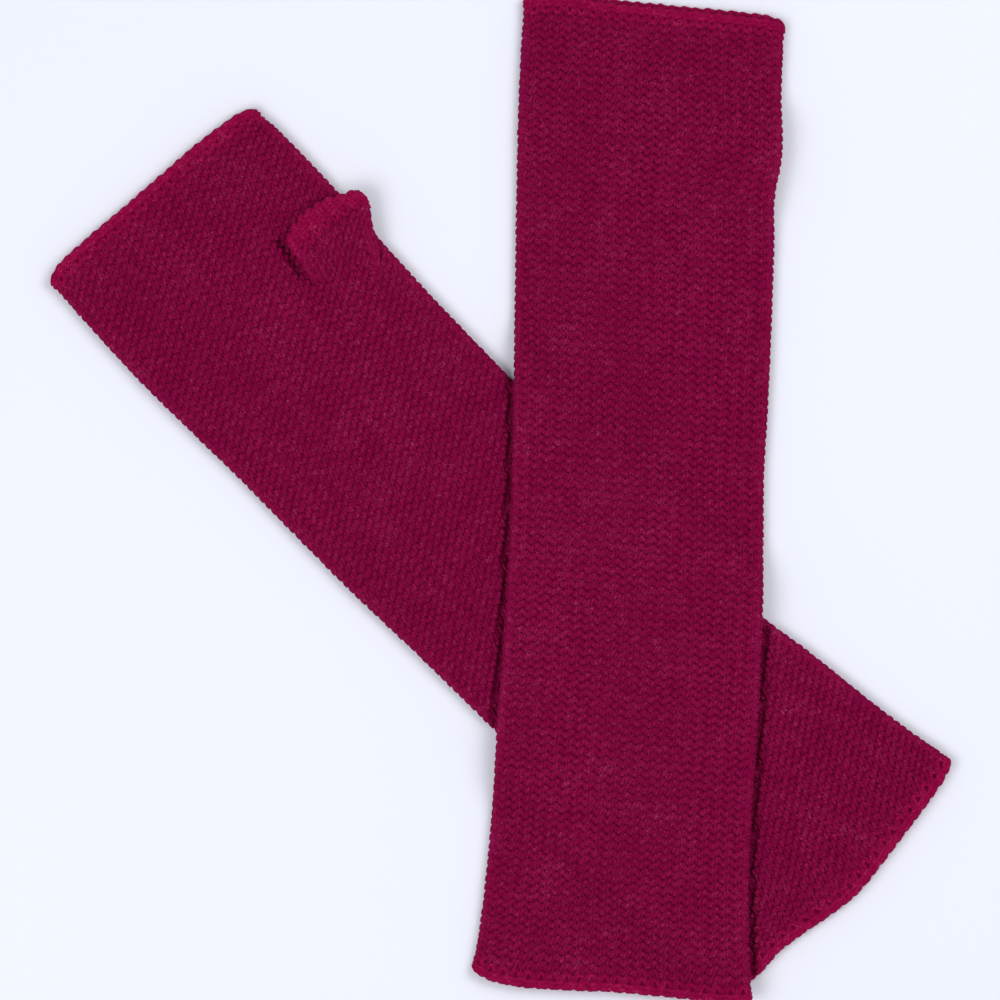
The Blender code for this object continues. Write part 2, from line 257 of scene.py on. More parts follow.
def smooth_value(rows, column, at):
    """Heights of a smooth curve through the rows of a table, whose first column is the place."""
    keys, values = rows[:, 0], rows[:, column]
    slopes = np.gradient(values, keys)
    slopes[1:-1] = (values[2:] - values[:-2]) / (keys[2:] - keys[:-2])
    at = np.clip(at, keys[0], keys[-1])
    high = np.clip(np.searchsorted(keys, at), 1, len(keys) - 1)
    low = high - 1
    span = keys[high] - keys[low]
    t = (at - keys[low]) / span
    rise = values[high] - values[low]
    start, end = slopes[low] * span, slopes[high] * span
    bend = (3 * rise - 2 * start - end) * t**2 + (start + end - 2 * rise) * t**3
    return values[low] + start * t + bend


def soft_step(t):
    """0 at 0 and below, 1 at 1 and above, level at both ends."""
    t = np.clip(t, 0.0, 1.0)
    return t * t * t * (t * (6 * t - 15) + 10)


def axes(warmer):
    """Directions along and across a warmer, in the table."""
    turn = np.radians(warmer.heading)
    return np.array((np.cos(turn), np.sin(turn))), np.array((-np.sin(turn), np.cos(turn)))


def on_table(warmer, along, across):
    """Places in the table."""
    along_way, across_way = axes(warmer)
    offset = along[..., None] * along_way + across[..., None] * across_way
    return np.array(warmer.hand_middle) + offset


def in_warmer(warmer, place):
    """Along and across of places in the table."""
    along_way, across_way = axes(warmer)
    offset = place - np.array(warmer.hand_middle)
    return offset @ along_way, offset @ across_way


def tube_width(warmer, along):
    """Middle and half width of a warmer's outline."""
    left = smooth_value(warmer.sections, 1, along)
    right = smooth_value(warmer.sections, 2, along)
    return (left + right) / 2, (right - left) / 2


def row_shift(warmer, row, side, level):
    """How far a place in a row lies past that row's middle, near the ends and between them."""
    near_hand = 1 - soft_step(row / EDGE_REACH)
    near_arm = 1 - soft_step((warmer.length - row) / EDGE_REACH)
    lean = warmer.hand_lean + (warmer.arm_lean - warmer.hand_lean) * row / warmer.length
    shift = lean * side
    shift = shift - near_hand * smooth_value(warmer.hand_edge, 1, side)
    shift = shift + near_arm * smooth_value(warmer.arm_edge, 1, side)
    return shift - near_hand * warmer.under_layer_past * (1 - level)


def flat_ring(turn, half, thick, inset):
    """Outline of a flattened tube cut across, a little inside its outer side.

    Gives the distance from the centre line, the height, and the height of the outer side beside it.
    """
    fold = thick / 2
    level = half - fold
    radius = np.maximum(fold - MID_WALL, LEAST_FOLD)
    arc = np.pi * radius
    way = (turn % 1.0) * (4 * level + 2 * arc)
    ends = [level, level + arc, 3 * level + arc, 3 * level + 2 * arc]
    angle = np.select(
        [way < end for end in ends],
        [0.0, (way - ends[0]) / radius, np.pi, np.pi + (way - ends[2]) / radius],
        2 * np.pi,
    )
    centre = np.select(
        [way < end for end in ends],
        [way, level, level - (way - ends[1]), -level],
        -level + (way - ends[3]),
    )
    reach = np.maximum(fold - inset, 0.0)
    across = centre + reach * np.sin(angle)
    height = 2 * fold - inset - reach - reach * np.cos(angle)
    return across, height, fold - fold * np.cos(angle)


def no_height(place):
    """Height of a place where nothing lifts or presses the knitting."""
    return np.zeros(place.shape[:-1])


# Troughs in the right warmer's upper layer, beside the left warmer and beside the thumb's mouth
TROUGH_DEPTH = 3.5
TROUGH_MIDDLE = 0.1  # outside the left warmer's outline
TROUGH_FLAT = 0.4  # half the width of its floor
TROUGH_SIDE = 1.8  # width of its sloping side
MOUTH_MIDDLE = 54.0  # along
MOUTH_HALF_LENGTH = 6.5
MOUTH_ASIDE = 1.3  # outside the thumb's outline


def troughs(place):
    """Height of the right warmer's upper layer, which is pressed down beside what lies on it."""
    along, across = in_warmer(LEFT, place)
    middle, half = tube_width(LEFT, along)
    beside = np.abs(across - middle) - half
    off_crossing = np.abs(beside - TROUGH_MIDDLE)
    along, across = in_warmer(RIGHT, place)
    beyond = np.maximum(np.abs(along - MOUTH_MIDDLE) - MOUTH_HALF_LENGTH, 0)
    off_mouth = np.hypot(beyond, across - smooth_value(THUMB_SECTIONS, 1, along) + MOUTH_ASIDE)
    return sum(
        -TROUGH_DEPTH * (1 - soft_step((off - TROUGH_FLAT) / TROUGH_SIDE))
        for off in (off_crossing, off_mouth)
    )


def tube_points(warmer, support, upper, rows, turns, inset):
    """Places on a tube, in metres: a line for each row, each of a point for each turn.

    Support gives the height of what it lies on, and upper a height for its upper layer alone.
    """
    row, turn = np.meshgrid(rows, turns, indexing="ij")
    middle, half = tube_width(warmer, row)
    across, height, outer = flat_ring(turn, half, THICKNESS + 0 * row, inset)
    along = row + row_shift(warmer, row, across / half, outer / THICKNESS)
    place = on_table(warmer, along, middle + across)
    height = height + support(place) + upper(place) * np.clip(height / THICKNESS, 0, 1)
    return np.dstack((place, height)) * MM


def sheet_mesh(name, points, coordinates=None, closed=False):
    """Quads between lines of points, with a map of them where it is given."""
    lines, steps = points.shape[:2]
    index = np.arange(lines * steps).reshape(lines, steps)
    after = np.roll(index, -1, axis=1) if closed else index[:, 1:]
    here = index if closed else index[:, :-1]
    faces = np.stack((here[:-1], after[:-1], after[1:], here[1:]), axis=-1).reshape(-1, 4)
    mesh = bpy.data.meshes.new(name)
    mesh.from_pydata(points.reshape(-1, 3).tolist(), [], faces.tolist())
    if coordinates is not None:
        layer = mesh.uv_layers.new(name="knit")
        layer.data.foreach_set("uv", coordinates.reshape(-1, 2)[faces.ravel()].ravel())
    mesh.shade_smooth()
    return mesh


# Surface that the strands follow, which goes on past the tube's ends and past its own seam
SURFACE_ROW = 1.5  # between its rows
SURFACE_POINTS = 4  # a stitch
ROW_MARGIN = 5.0
SEAM_MARGIN = 0.05  # share of the way round


def knitted_surface(name, points_of, first, last, stitches):
    """Middle of the knitting, for a strand to follow, mapped by turn and row."""
    turns = np.linspace(-SEAM_MARGIN, 1 + SEAM_MARGIN, SURFACE_POINTS * stitches + 1)
    rows = np.linspace(first - ROW_MARGIN, last + ROW_MARGIN, int((last - first) / SURFACE_ROW))
    u = (turns + SEAM_MARGIN) / (1 + 2 * SEAM_MARGIN)
    v = (rows - first + ROW_MARGIN) / (last - first + 2 * ROW_MARGIN)
    spread = np.stack(np.meshgrid(u, v), axis=-1)
    mesh = sheet_mesh(name, points_of(rows, turns, MID_WALL), spread)
    surface = bpy.data.objects.new(name, mesh)
    bpy.context.scene.collection.objects.link(surface)
    return surface


# Inputs of the knitting: counts, and sizes in stitches round the tube or in millimetres
KNIT_COUNTS = ("Stitches", "Courses", "Points in a stitch", "Sides of the yarn", "Seed")
KNIT_SIZES = (
    "Stitches round", "First stitch", "First row", "Course height", "Length", "Curl", "Loop reach",
    "Tilt", "Depth", "Depth at a fold", "Sharpness", "Roll", "Lift", "Yarn radius", "Unevenness",
)  # fmt: skip
# Where the loops flatten towards a fold, in stitches from it
FOLD_START = 0.25
FOLD_END = 0.9
# A strand strays slowly over many stitches, and a little less from stitch to stitch
STRAYS = ((0.11, 1.0), (0.9, 0.75))
STRAY_WAYS = (0.25, 1.0, 0.4)  # share of it round the tube, along it and outward
SEED_STEP = 7.31  # how far apart in the noise two seeds are
FAR = -10.0  # metres to the left of everything, and in front of it
# Steps that place a strand, as those of the reliefs. X is in stitches round the tube and y in
# millimetres along it.
COURSE_STEPS = (
    # how far along the course a point is, in stitches, and how far its loop has swung there
    ("stitch", "MULTIPLY", "share of the course", "Stitches"),
    ("once", "MULTIPLY", "stitch", 2 * np.pi),
    ("twice", "MULTIPLY", "stitch", 4 * np.pi),
    ("swing", "SINE", "once"),
    ("both swings", "SINE", "twice"),
    ("head", "COSINE", "once"),
    # its place in the knitting
    ("x", "ADD", "stitch", "First stitch"),
    ("x", "MULTIPLY_ADD", "swing", "Curl", "x"),
    ("y", "MULTIPLY_ADD", "course", "Course height", "First row"),
    ("down", "MULTIPLY", "Loop reach", -1.0),
    ("y", "MULTIPLY_ADD", "head", "down", "y"),
    ("y", "MULTIPLY_ADD", "both swings", "Tilt", "y"),
    # how far out it comes, from -1 on a loop's sides to 1 at its head and foot
    ("crest", "MULTIPLY", "head", "head"),
    ("crest", "POWER", "crest", "Sharpness"),
    ("crest", "MULTIPLY_ADD", "crest", 2.0, -1.0),
    # how far it is from the nearer fold, in stitches
    ("off fold", "DIVIDE", "x", "Stitches round"),
    ("off fold", "SUBTRACT", "off fold", 0.5),
    ("off fold", "ABSOLUTE", "off fold"),
    ("off fold", "SUBTRACT", "off fold", 0.25),
    ("off fold", "ABSOLUTE", "off fold"),
    ("off fold", "MULTIPLY", "off fold", "Stitches round"),
    # its place in the noise and on the map of the surface
    ("seed", "MULTIPLY", "Seed", SEED_STEP),
    ("seam margin", "MULTIPLY", "Stitches round", SEAM_MARGIN),
    ("all stitches", "MULTIPLY", "Stitches round", 1 + 2 * SEAM_MARGIN),
    ("all rows", "ADD", "Length", 2 * ROW_MARGIN),
    # the yarn, and where its own surface is round it and along it
    ("points", "MULTIPLY_ADD", "Stitches", "Points in a stitch", 1.0),
    ("run", "DIVIDE", "way", MM),
    ("radius", "MULTIPLY", "Yarn radius", MM),
    ("angle", "MULTIPLY", "share of the round", 2 * np.pi),
    ("beside", "COSINE", "angle"),
    ("above", "SINE", "angle"),
)


def knitting_tree():
    """Node tree that lays a strand for each course over a mapped surface.

    Along a course the strand goes once up and down for each stitch, and comes to the outside at
    the heads and at the feet of its loops. It never goes below the table.
    """
    tree = bpy.data.node_groups.new("knit courses of yarn", "GeometryNodeTree")
    face = tree.interface
    face.new_socket("Surface", in_out="INPUT", socket_type="NodeSocketGeometry")
    face.new_socket("Yarn", in_out="OUTPUT", socket_type="NodeSocketGeometry")
    for name in KNIT_COUNTS:
        face.new_socket(name, in_out="INPUT", socket_type="NodeSocketInt")
    for name in KNIT_SIZES:
        face.new_socket(name, in_out="INPUT", socket_type="NodeSocketFloat")
    face.new_socket("Wool", in_out="INPUT", socket_type="NodeSocketMaterial")
    given = tree.nodes.new("NodeGroupInput").outputs

    flat_place = add(tree, "GeometryNodeInputPosition").outputs[0]
    flat_place = add(tree, "ShaderNodeSeparateXYZ", None, {"Vector": flat_place})
    along_curve = add(tree, "GeometryNodeSplineParameter")
    known = {name: given[name] for name in (*KNIT_COUNTS, *KNIT_SIZES)}
    known["share of the course"] = flat_place.outputs["X"]
    known["course"] = flat_place.outputs["Y"]
    known["way"] = along_curve.outputs["Length"]
    known["share of the round"] = along_curve.outputs["Factor"]
    for step, operation, *values in COURSE_STEPS:
        inputs = {index: known.get(value, value) for index, value in enumerate(values)}
        node = add(tree, "ShaderNodeMath", {"operation": operation}, inputs)
        known[step] = node.outputs[0]

    # Strands laid out flat, each a unit long and a unit from the next
    line = add(tree, "GeometryNodeCurvePrimitiveLine", None, {"Start": (0, 0, 0), "End": (1, 0, 0)})
    strand = add(
        tree,
        "GeometryNodeResampleCurve",
        None,
        {"Curve": line.outputs[0], "Count": known["points"]},
    )
    starts = add(
        tree, "GeometryNodeMeshLine", None, {"Count": given["Courses"], "Offset": (0, 1, 0)}
    )
    courses = add(
        tree,
        "GeometryNodeInstanceOnPoints",
        None,
        {"Points": starts.outputs[0], "Instance": strand.outputs[0]},
    )
    courses = add(tree, "GeometryNodeRealizeInstances", None, {"Geometry": courses.outputs[0]})

    # Loops, less deep at a fold, which stray a little
    at_fold = add(
        tree,
        "ShaderNodeMapRange",
        {"interpolation_type": "SMOOTHSTEP"},
        {
            "Value": known["off fold"],
            "From Min": FOLD_START,
            "From Max": FOLD_END,
            "To Min": given["Depth at a fold"],
            "To Max": 1.0,
        },
    )
    depth = add(
        tree,
        "ShaderNodeMath",
        {"operation": "MULTIPLY"},
        {0: given["Depth"], 1: at_fold.outputs[0]},
    )
    proud = add(
        tree,
        "ShaderNodeMath",
        {"operation": "MULTIPLY_ADD"},
        {0: known["crest"], 1: depth.outputs[0], 2: given["Lift"]},
    )
    proud = add(
        tree,
        "ShaderNodeMath",
        {"operation": "MULTIPLY_ADD"},
        {0: known["swing"], 1: given["Roll"], 2: proud.outputs[0]},
    )
    spot = add(
        tree,
        "ShaderNodeCombineXYZ",
        None,
        {"X": known["x"], "Y": known["y"], "Z": proud.outputs[0]},
    )
    in_noise = add(
        tree,
        "ShaderNodeCombineXYZ",
        None,
        {"X": known["stitch"], "Y": known["course"], "Z": known["seed"]},
    )
    for scale, share in STRAYS:
        stray = add(
            tree,
            "ShaderNodeTexNoise",
            None,
            {"Vector": in_noise.outputs[0], "Scale": scale, "Detail": 1.0},
        ).outputs["Color"]  # from 0 to 1 each way
        for operation, amount in (
            ("SUBTRACT", (0.5, 0.5, 0.5)),
            ("MULTIPLY", tuple(share * way for way in STRAY_WAYS)),
        ):
            stray = add(
                tree, "ShaderNodeVectorMath", {"operation": operation}, {0: stray, 1: amount}
            ).outputs[0]
        stray = add(
            tree,
            "ShaderNodeVectorMath",
            {"operation": "SCALE"},
            {"Vector": stray, "Scale": given["Unevenness"]},
        )
        spot = add(
            tree,
            "ShaderNodeVectorMath",
            {"operation": "ADD"},
            {0: spot.outputs[0], 1: stray.outputs[0]},
        )

    # Their places over the surface
    margin = add(
        tree, "ShaderNodeCombineXYZ", None, {"X": known["seam margin"], "Y": ROW_MARGIN, "Z": 0.0}
    )
    whole = add(
        tree,
        "ShaderNodeCombineXYZ",
        None,
        {"X": known["all stitches"], "Y": known["all rows"], "Z": 1.0},
    )
    on_map = add(
        tree,
        "ShaderNodeVectorMath",
        {"operation": "ADD"},
        {0: spot.outputs[0], 1: margin.outputs[0]},
    )
    on_map = add(
        tree,
        "ShaderNodeVectorMath",
        {"operation": "DIVIDE"},
        {0: on_map.outputs[0], 1: whole.outputs[0]},
    )
    spread = add(
        tree, "GeometryNodeInputNamedAttribute", {"data_type": "FLOAT_VECTOR"}, {"Name": "knit"}
    )
    below, outward = (
        add(
            tree,
            "GeometryNodeSampleUVSurface",
            {"data_type": "FLOAT_VECTOR"},
            {
                "Mesh": given["Surface"],
                "Value": add(tree, kind).outputs[0],
                "Source UV Map": spread.outputs["Attribute"],
                "Sample UV": on_map.outputs[0],
            },
        ).outputs["Value"]
        for kind in ("GeometryNodeInputPosition", "GeometryNodeInputNormal")
    )
    proud = add(tree, "ShaderNodeSeparateXYZ", None, {"Vector": spot.outputs[0]}).outputs["Z"]
    proud = add(tree, "ShaderNodeMath", {"operation": "MULTIPLY"}, {0: proud, 1: MM})
    rise = add(
        tree,
        "ShaderNodeVectorMath",
        {"operation": "SCALE"},
        {"Vector": outward, "Scale": proud.outputs[0]},
    )
    place = add(
        tree, "ShaderNodeVectorMath", {"operation": "ADD"}, {0: below, 1: rise.outputs[0]}
    )
    least = add(tree, "ShaderNodeCombineXYZ", None, {"X": FAR, "Y": FAR, "Z": known["radius"]})
    place = add(
        tree,
        "ShaderNodeVectorMath",
        {"operation": "MAXIMUM"},
        {0: place.outputs[0], 1: least.outputs[0]},
    )
    laid = add(
        tree,
        "GeometryNodeSetPosition",
        None,
        {"Geometry": courses.outputs[0], "Position": place.outputs[0]},
    )

    # Yarn round each strand, whose points know where they are on it, so that its plies show
    laid = add(
        tree,
        "GeometryNodeStoreNamedAttribute",
        {"data_type": "FLOAT", "domain": "POINT"},
        {"Geometry": laid.outputs[0], "Name": "run", "Value": known["run"]},
    )
    outline = add(
        tree,
        "GeometryNodeCurvePrimitiveCircle",
        {"mode": "RADIUS"},
        {"Resolution": given["Sides of the yarn"], "Radius": known["radius"]},
    )
    around = add(
        tree, "ShaderNodeCombineXYZ", None, {"X": known["beside"], "Y": known["above"], "Z": 0.0}
    )
    outline = add(
        tree,
        "GeometryNodeStoreNamedAttribute",
        {"data_type": "FLOAT_VECTOR", "domain": "POINT"},
        {"Geometry": outline.outputs["Curve"], "Name": "round", "Value": around.outputs[0]},
    )
    yarn = add(
        tree,
        "GeometryNodeCurveToMesh",
        None,
        {"Curve": laid.outputs[0], "Profile Curve": outline.outputs[0], "Fill Caps": True},
    )
    around = add(
        tree, "GeometryNodeInputNamedAttribute", {"data_type": "FLOAT_VECTOR"}, {"Name": "round"}
    )
    around = add(tree, "ShaderNodeSeparateXYZ", None, {"Vector": around.outputs["Attribute"]})
    run = add(tree, "GeometryNodeInputNamedAttribute", {"data_type": "FLOAT"}, {"Name": "run"})
    ply = add(
        tree,
        "ShaderNodeCombineXYZ",
        None,
        {"X": around.outputs["X"], "Y": around.outputs["Y"], "Z": run.outputs["Attribute"]},
    )
    yarn = add(
        tree,
        "GeometryNodeStoreNamedAttribute",
        {"data_type": "FLOAT_VECTOR", "domain": "POINT"},
        {"Geometry": yarn.outputs[0], "Name": "ply", "Value": ply.outputs[0]},
    )
    yarn = add(tree, "GeometryNodeSetShadeSmooth", None, {"Geometry": yarn.outputs[0]})
    yarn = add(tree, "GeometryNodeRealizeInstances", None, {"Geometry": yarn.outputs[0]})
    yarn = add(
        tree,
        "GeometryNodeSetMaterial",
        None,
        {"Geometry": yarn.outputs[0], "Material": given["Wool"]},
    )
    add(tree, "NodeGroupOutput", None, {"Yarn": yarn.outputs[0]})
    return tree


knit_courses = knitting_tree()


def finished_piece(mesh, nodes):
    """Piece of the object, which stands for nodes of the source."""
    piece = bpy.data.objects.new(mesh.name, mesh)
    bpy.context.scene.collection.objects.link(piece)
    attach(piece, "root")
    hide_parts(*nodes)
    return piece


def knit(name, surface, values, material, nodes):
    """Yarn over a surface, as a piece of its own."""
    modifier = surface.modifiers.new("knit", "NODES")
    modifier.node_group = knit_courses
    for item in knit_courses.interface.items_tree:
        if item.in_out == "INPUT" and item.name in values:
            modifier[item.identifier] = values[item.name]
        elif item.in_out == "INPUT" and item.name == "Wool":
            modifier[item.identifier] = material
    evaluated = surface.evaluated_get(bpy.context.evaluated_depsgraph_get())
    mesh = bpy.data.meshes.new_from_object(evaluated)
    surface.modifiers.remove(modifier)
    mesh.name = name
    for spare in ("round", "run"):
        mesh.attributes.remove(mesh.attributes[spare])
    return finished_piece(mesh, nodes)


# How a strand runs in each kind of course
PLAIN_STITCH = {
    "Points in a stitch": 12,
    "Sides of the yarn": 5,
    "Curl": 0.0,  # how far its loops open or close at their feet
    "Loop reach": 2.55,  # up and down from the middle of its course
    "Tilt": 0.42,
    "Depth": 0.62,  # in and out, from the middle of the knitting
    "Depth at a fold": 0.6,  # share of that depth
    "Sharpness": 2.5,  # how short the bumps at the heads and feet are
    "Roll": 0.0,  # outward on one side of a loop and inward on the other
    "Lift": 0.0,  # outward all along
    "Yarn radius": 1.0,
    "Unevenness": 0.65,
}
# Course next to an edge, a little flatter, which leaves the row of pits behind it
OPEN_STITCH = {
    **PLAIN_STITCH,
    "Tilt": 0.2,
    "Depth": 0.5,
    "Sharpness": 2.0,
}
# Upright loops of an edge
BAND_STITCH = {
    **PLAIN_STITCH,
    "Curl": -0.04,
    "Loop reach": 1.9,
    "Tilt": 0.0,
    "Depth": 0.2,
    "Sharpness": 1.0,
    "Lift": 0.1,
    "Yarn radius": 0.9,
}
# Strand of an edge's chain, which lies almost straight
CHAIN_STITCH = {
    **PLAIN_STITCH,
    "Sides of the yarn": 6,
    "Loop reach": 0.25,
    "Tilt": 0.1,
    "Depth": 0.12,
    "Sharpness": 1.0,
    "Roll": 0.15,
    "Lift": 0.25,
    "Yarn radius": 1.05,
    "Unevenness": 0.7,
}
FOLD_SHIFT = 0.12  # of a stitch, which brings a bump and not a pit to each fold
HALF_STITCH = 0.5  # by which a hand edge's loops stand on from those of an arm edge
TOP_STITCHES = 25  # of a tube's stitches, the ones on its upper layer and round its folds
# Rows in from an edge
CHAIN_ROW = 0.95
CHAIN_GAP = 1.35  # between the strands of a chain
CHAIN_STRANDS = 2
LOOP_ROW = 3.7  # behind a chain of that many strands
OPEN_ROW = 6.35
FIRST_ROW = 9.4
# Cloth behind the yarn, below the outer side of the knitting
CLOTH_THICK = 0.8
CLOTH_INSET = 2.0
UNDER_INSET = 0.2  # in the under layer, which has no strands over it
UNDER_START = 0.6  # how far it has come out already where the strands end
UNDER_RUN = 0.05  # way round over which it comes out
END_RUN = 12.0  # near its ends, where the courses are open, it lies less deep
END_RAISE = 0.55
CLOTH_START = 1.2  # of its first row
TUBE_CLOTH_ROWS = 72
TUBE_CLOTH_POINTS = 3  # a stitch
WELD = 1e-7  # metres, between points that are made one


def cloth_inset(turn):
    """Inset of the cloth: deep behind the loops, and near the outer side where it has none."""
    off_yarn = (1 - TOP_STITCHES / STITCHES) / 2 - np.minimum(turn % 1, -turn % 1)
    uncovered = soft_step(off_yarn / UNDER_RUN + UNDER_START)
    return CLOTH_INSET + (UNDER_INSET - CLOTH_INSET) * uncovered


def cloth_piece(name, points_of, rows, turns, stitches, course_height, nodes):
    """Thin closed cloth behind the yarn: an outer and an inner side joined at both its ends."""
    near_end = 1 - soft_step(np.minimum(rows - rows[0], rows[-1] - rows) / END_RUN)
    inset = cloth_inset(turns)
    behind_yarn = inset > CLOTH_INSET / 2
    inset = inset - END_RAISE * near_end[:, None] * behind_yarn
    outer = points_of(rows, turns, inset)
    inner = points_of(rows, turns, inset + CLOTH_THICK)
    mesh = sheet_mesh(name, np.concatenate((outer, inner[::-1], outer[:1])), closed=True)
    around, along = np.meshgrid(
        np.append(turns, 1.0) * stitches,
        np.concatenate((rows, rows[::-1], rows[:1])) / course_height,
    )
    spot = np.dstack((around, along, 0 * along))
    corners = np.stack((spot[:-1, :-1], spot[:-1, 1:], spot[1:, 1:], spot[1:, :-1]), axis=2)
    layer = mesh.attributes.new("stitch", "FLOAT_VECTOR", "CORNER")
    layer.data.foreach_set("vector", corners.ravel())
    mesh.materials.append(cloth_wool)
    work = bmesh.new()
    work.from_mesh(mesh)
    bmesh.ops.remove_doubles(work, verts=work.verts, dist=WELD)
    bmesh.ops.recalc_face_normals(work, faces=work.faces)
    work.to_mesh(mesh)
    work.free()
    return finished_piece(mesh, nodes)


def finish_edge(name, surface, common, stitches, chain, strands, start=0.0, towards=1.0):
    """Chain of an edge, of some strands side by side, and the upright loops behind it.

    Start is the row of the edge, and towards is 1 or -1, the way along from it into the knitting.
    """
    upright = {**BAND_STITCH, "Loop reach": towards * BAND_STITCH["Loop reach"]}
    behind = LOOP_ROW + (strands - CHAIN_STRANDS) * CHAIN_GAP
    made = []
    for kind, stitch, count, way in (
        ("chain", chain, strands, CHAIN_ROW),
        ("loops", upright, 1, behind),
    ):
        values = {
            **common,
            **stitch,
            "Stitches": stitches,
            "Courses": count,
            "Seed": 2,
            "First stitch": FOLD_SHIFT + (HALF_STITCH if towards > 0 else 0.0),
            "First row": start + towards * way,
            "Course height": towards * CHAIN_GAP,
        }
        made.append(knit(f"{name}_{kind}", surface, values, painted_light_edge_wool, [name]))
    return made


def warmer_pieces(warmer, support, upper):
    """Cloth, knitted courses and edges of a warmer's tube."""
    side = warmer.side
    tube = [f"{side}_tube"]

    def points_of(rows, turns, inset):
        return tube_points(warmer, support, upper, rows, turns, inset)

    def courses(part, stitch, count, first_row, seed):
        values = {
            **common,
            **stitch,
            "Stitches": TOP_STITCHES,
            "Courses": count,
            "Seed": seed,
            "First stitch": (STITCHES - TOP_STITCHES) / 2 + FOLD_SHIFT,
            "First row": first_row,
        }
        return knit(f"{side}_{part}", surface, values, yarn_wool, tube)

    pitch = (warmer.length - 2 * FIRST_ROW) / (COURSES - 1)
    surface = knitted_surface(f"{side}_surface", points_of, 0.0, warmer.length, STITCHES)
    common = {"Length": warmer.length, "Stitches round": float(STITCHES), "Course height": pitch}
    half = COURSES // 2
    yarn = [
        courses("hand_courses", PLAIN_STITCH, half, FIRST_ROW, seed=3),
        courses("arm_courses", PLAIN_STITCH, COURSES - half, FIRST_ROW + half * pitch, seed=5),
    ]
    edges = []
    for part, towards, start in (("hand", 1.0, 0.0), ("arm", -1.0, warmer.length)):
        open_row = start + towards * OPEN_ROW
        yarn.append(courses(f"{part}_open_course", OPEN_STITCH, 1, open_row, seed=4))
        edges += finish_edge(
            f"{side}_{part}_edge",
            surface,
            common,
            STITCHES,
            CHAIN_STITCH,
            CHAIN_STRANDS,
            start,
            towards,
        )
    points = TUBE_CLOTH_POINTS * STITCHES
    turns = np.arange(points) / points
    rows = np.linspace(CLOTH_START, warmer.length - CLOTH_START, TUBE_CLOTH_ROWS)
    cloth = cloth_piece(f"{side}_cloth", points_of, rows, turns, STITCHES, pitch, tube)
    bpy.data.objects.remove(surface)
    return cloth, yarn, edges


right_cloth, right_yarn, right_edges = warmer_pieces(RIGHT, no_height, troughs)

# Left warmer. Knitted as the right one is, of the same wool, and laid across it with the back of
# the hand up, so it rises over the other one's edges and over its own thumb.
GAP = 0.3  # between two layers that lie on each other
DRAPE_SHELF = 1.5  # how far it stays up past the edge that it lies on
DRAPE_RUN = 20.0  # and the way in which it then falls to the table
LEFT_THUMB_END = 78.0  # along, where its own thumb no longer lifts it


def thumb_width(warmer, along):
    """Middle, half width and thickness of a warmer's thumb."""
    left, right, thick = (smooth_value(THUMB_SECTIONS, i, along) for i in (1, 2, 3))
    return (left + right) / 2 + warmer.thumb_across, (right - left) / 2, thick


def outside(along, across, first, last, middle, half):
    """Distance of a place from a strip, 0 inside it."""
    beside = np.maximum(np.abs(across - middle) - half, 0.0)
    beyond = np.maximum(np.maximum(first - along, along - last), 0.0)
    return np.hypot(beside, beyond)


def drape(height, distance):
    """Height of cloth that lies on something and falls off its edge."""
    return height * (1 - soft_step((distance - DRAPE_SHELF) / DRAPE_RUN))


def over_right_warmer(place):
    """Height of what the left warmer lies on: the right warmer, and its own thumb."""
    along, across = in_warmer(RIGHT, place)
    middle, half = tube_width(RIGHT, along)
    crossing = drape(THICKNESS + GAP, outside(along, across, 0, RIGHT.length, middle, half))
    along, across = in_warmer(LEFT, place)
    middle, half, thick = thumb_width(LEFT, np.minimum(along, LEFT_THUMB_END))
    away = outside(along, across, THUMB_SECTIONS[0, 0], LEFT_THUMB_END, middle, half)
    return np.maximum(crossing, drape(thick + GAP, away))


left_cloth, left_yarn, left_edges = warmer_pieces(LEFT, over_right_warmer, no_height)

# Thumbs. Each is picked up round a slit in the palm, knitted out of it towards the knuckles in
# the same wool, and bound off. The right one lies flattened on its palm, and the left one lies
# face down under its own.
THUMB_STITCHES = 16
THUMB_TOP_STITCHES = 11  # of them, the ones on its upper layer and round its folds
THUMB_COURSE_HEIGHT = 3.0
THUMB_FIRST_ROW = 8.9
THUMB_CHAIN_STRANDS = 4
THUMB_CLOTH_ROWS = 14
THUMB_CLOTH_POINTS = 4  # a stitch
THUMB_CLOTH_END = 68.0  # along, just inside the palm
MOUTH_REACH = 16.0  # how far the bend of its edge carries on
# Its root runs across the palm at a slant
SLANT = 14.0
SLANT_START = 60.0
SLANT_RUN = 9.0
# Run of its edge, as for the tubes
THUMB_EDGE = np.array([
    (-1.0, -2.8), (-0.87, 0.6), (-0.5, 2.4), (-0.2, 2.7), (0.2, 1.4), (0.43, -0.4), (0.64, -2.3),
    (0.82, -4.0), (0.95, -5.4), (1.0, -8.2),
])  # fmt: skip
# Strand of its chain, which was bound off less evenly
KNOTTED_CHAIN_STITCH = {
    **CHAIN_STITCH,
    "Loop reach": 0.55,
    "Depth": 0.3,
    "Unevenness": 1.3,
}


def thumb_points(warmer, rows, turns, inset):
    """Places on a thumb, in metres."""
    row, turn = np.meshgrid(rows, turns if warmer is RIGHT else -turns, indexing="ij")
    middle, half, thick = thumb_width(warmer, row)
    across, _, _ = flat_ring(turn, half, thick, inset)
    sunk = SLANT * soft_step((row - SLANT_START) / SLANT_RUN) * (1 - across / half) / 2
    thick = smooth_value(THUMB_SECTIONS, 3, row + sunk)
    across, height, _ = flat_ring(turn, half, thick, inset)
    near_mouth = 1 - soft_step((row - THUMB_SECTIONS[0, 0]) / MOUTH_REACH)
    shift = -near_mouth * smooth_value(THUMB_EDGE, 1, across / half)
    place = on_table(warmer, row + shift, middle + across)
    height = THICKNESS + GAP + height if warmer is RIGHT else thick - height
    return np.dstack((place, height)) * MM


